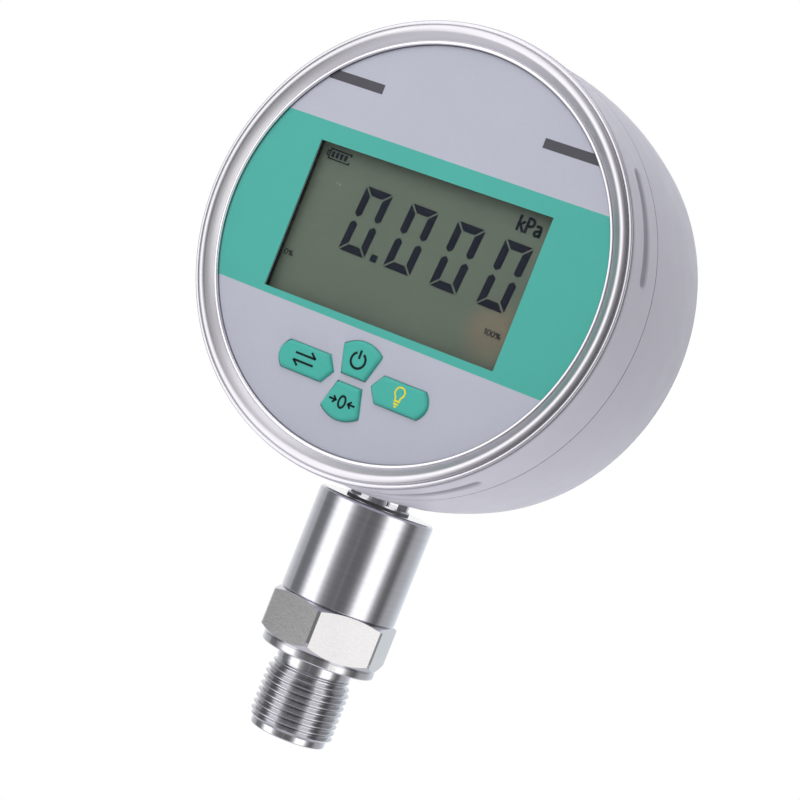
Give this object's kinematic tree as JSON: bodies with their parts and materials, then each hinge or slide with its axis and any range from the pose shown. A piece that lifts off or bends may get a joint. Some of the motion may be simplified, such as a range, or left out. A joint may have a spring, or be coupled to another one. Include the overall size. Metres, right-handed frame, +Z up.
{
  "type": "digital pressure gauge",
  "caption": "Round digital pressure gauge with a recessed display, raised keys in a cross, a bezel, a two-part housing and a hexagon stem with a lower male thread.",
  "frame": {"origin": "on the stem axis at the lower edge of the lowest thread crest", "axes": "+Z up along the stem from the process connection to the case, -Y towards the display, +X to the right when reading the display"},
  "size_m": [0.105, 0.0506, 0.1629],
  "materials": {
    "housing_paint": "light grey satin powder coat",
    "bezel_metal": "turned stainless steel, polished to a satin",
    "plate_plastic": "moulded grey plastic",
    "label_film": "printed matt film, grey with a teal band and two dark bars",
    "clear_pane": "clear polished pane",
    "display_field": "grey-green reflective display field",
    "display_ink": "dark display segments",
    "light_panel": "white diffusing panel",
    "key_rubber": "teal silicone rubber, satin",
    "plunger_plastic": "moulded plastic",
    "black_plastic": "moulded black plastic",
    "black_rubber": "black rubber",
    "board_laminate": "green solder resist on laminate",
    "screw_steel": "plain zinc-plated steel",
    "cell_wrap": "plain printed sleeve",
    "contact_metal": "nickel plate",
    "stem_steel": "turned stainless steel",
    "sensor_steel": "stainless steel with fine turning marks round the axis",
    "connection_steel": "turned and milled stainless steel",
    "lead_sheath": "black cable sheath",
    "plug_plastic": "natural moulded plastic"
  },
  "bodies": {
    "gauge": {"front_housing": "housing_paint", "rear_housing": "housing_paint", "bezel_ring": "bezel_metal", "face_plate": "plate_plastic", "face_label": "label_film", "face_gasket": "black_rubber", "window_pane": "clear_pane", "display_glass": "display_field", "display_segments": "display_ink", "back_light": "light_panel", "display_holder": "black_plastic", "contact_strips": "black_rubber", "circuit_board": "board_laminate", "board_parts": "black_plastic", "board_screws": "screw_steel", "switch_left": "black_plastic", "switch_top": "black_plastic", "switch_bottom": "black_plastic", "switch_right": "black_plastic", "housing_seal": "black_rubber", "case_screws": "screw_steel", "battery_holder": "black_plastic", "battery_cells": "cell_wrap", "battery_contacts": "contact_metal", "battery_springs": "contact_metal", "battery_door": "housing_paint", "door_seal": "black_rubber", "door_screws": "screw_steel", "neck": "stem_steel", "neck_foot_seal": "black_rubber", "neck_washer": "black_rubber", "neck_nut": "screw_steel", "lead_tube": "stem_steel", "sensor_lead": "lead_sheath", "lead_plug": "plug_plastic", "lead_socket": "plug_plastic", "sensor_housing": "sensor_steel", "sensor_board": "board_laminate", "sensor_cell": "stem_steel", "sensor_ring": "screw_steel", "sensor_o_ring": "black_rubber", "pressure_connection": "connection_steel"},
    "left_key": {"key_left": "key_rubber", "plunger_left": "plunger_plastic"},
    "top_key": {"key_top": "key_rubber", "plunger_top": "plunger_plastic"},
    "bottom_key": {"key_bottom": "key_rubber", "plunger_bottom": "plunger_plastic"},
    "right_key": {"key_right": "key_rubber", "plunger_right": "plunger_plastic"}
  },
  "joints": [
    {"name": "left_key_press", "type": "slide", "parent": "gauge", "child": "left_key", "axis": [0, 1, 0], "range_m": [0, 0.0005], "stiffness_N_per_m": 3000},
    {"name": "top_key_press", "type": "slide", "parent": "gauge", "child": "top_key", "axis": [0, 1, 0], "range_m": [0, 0.0005], "stiffness_N_per_m": 3000},
    {"name": "bottom_key_press", "type": "slide", "parent": "gauge", "child": "bottom_key", "axis": [0, 1, 0], "range_m": [0, 0.0005], "stiffness_N_per_m": 3000},
    {"name": "right_key_press", "type": "slide", "parent": "gauge", "child": "right_key", "axis": [0, 1, 0], "range_m": [0, 0.0005], "stiffness_N_per_m": 3000}
  ]
}
